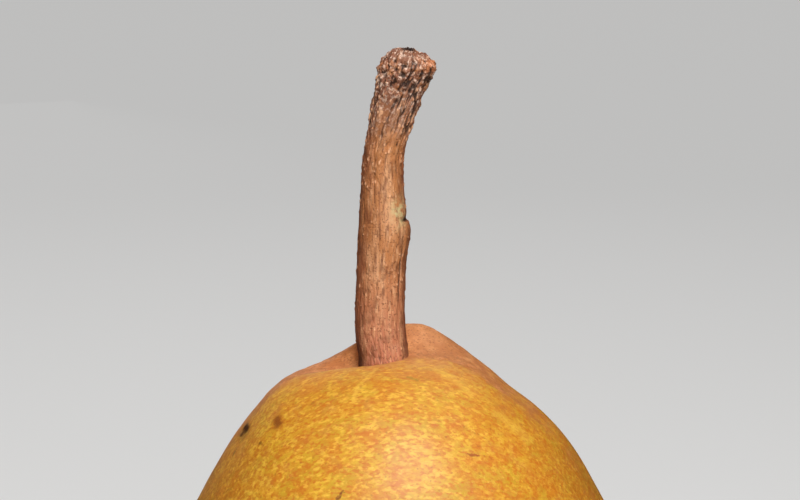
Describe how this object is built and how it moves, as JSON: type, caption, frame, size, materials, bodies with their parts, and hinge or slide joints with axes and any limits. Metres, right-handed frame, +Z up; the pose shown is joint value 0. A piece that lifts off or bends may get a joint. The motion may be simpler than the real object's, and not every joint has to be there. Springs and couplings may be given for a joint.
{
  "type": "pear",
  "caption": "Whole yellow pear with a narrow neck, a thick woody stem set beside a fleshy lip, and dried sepals in the eye, standing on its broad end.",
  "frame": {"origin": "middle of the bottom, on the surface that the pear stands on", "axes": "+Z up along the core from the eye to the stem, -Y towards the front, +X to the right with the fleshy lip at the right rear"},
  "size_m": [0.0764, 0.0749, 0.1109],
  "materials": {
    "skin": "waxy golden-yellow fruit skin, mottled with orange-brown russet, soft satin sheen",
    "bark": "dry red-brown bark, wrinkled lengthwise, matt",
    "dried_leaf": "dried dark-brown leaf tissue, matt"
  },
  "bodies": {
    "root": {"fruit": "skin", "stem": "bark", "sepal_1": "dried_leaf", "sepal_2": "dried_leaf", "sepal_3": "dried_leaf", "sepal_4": "dried_leaf", "sepal_5": "dried_leaf", "stamen_tuft": "dried_leaf"}
  },
  "joints": []
}
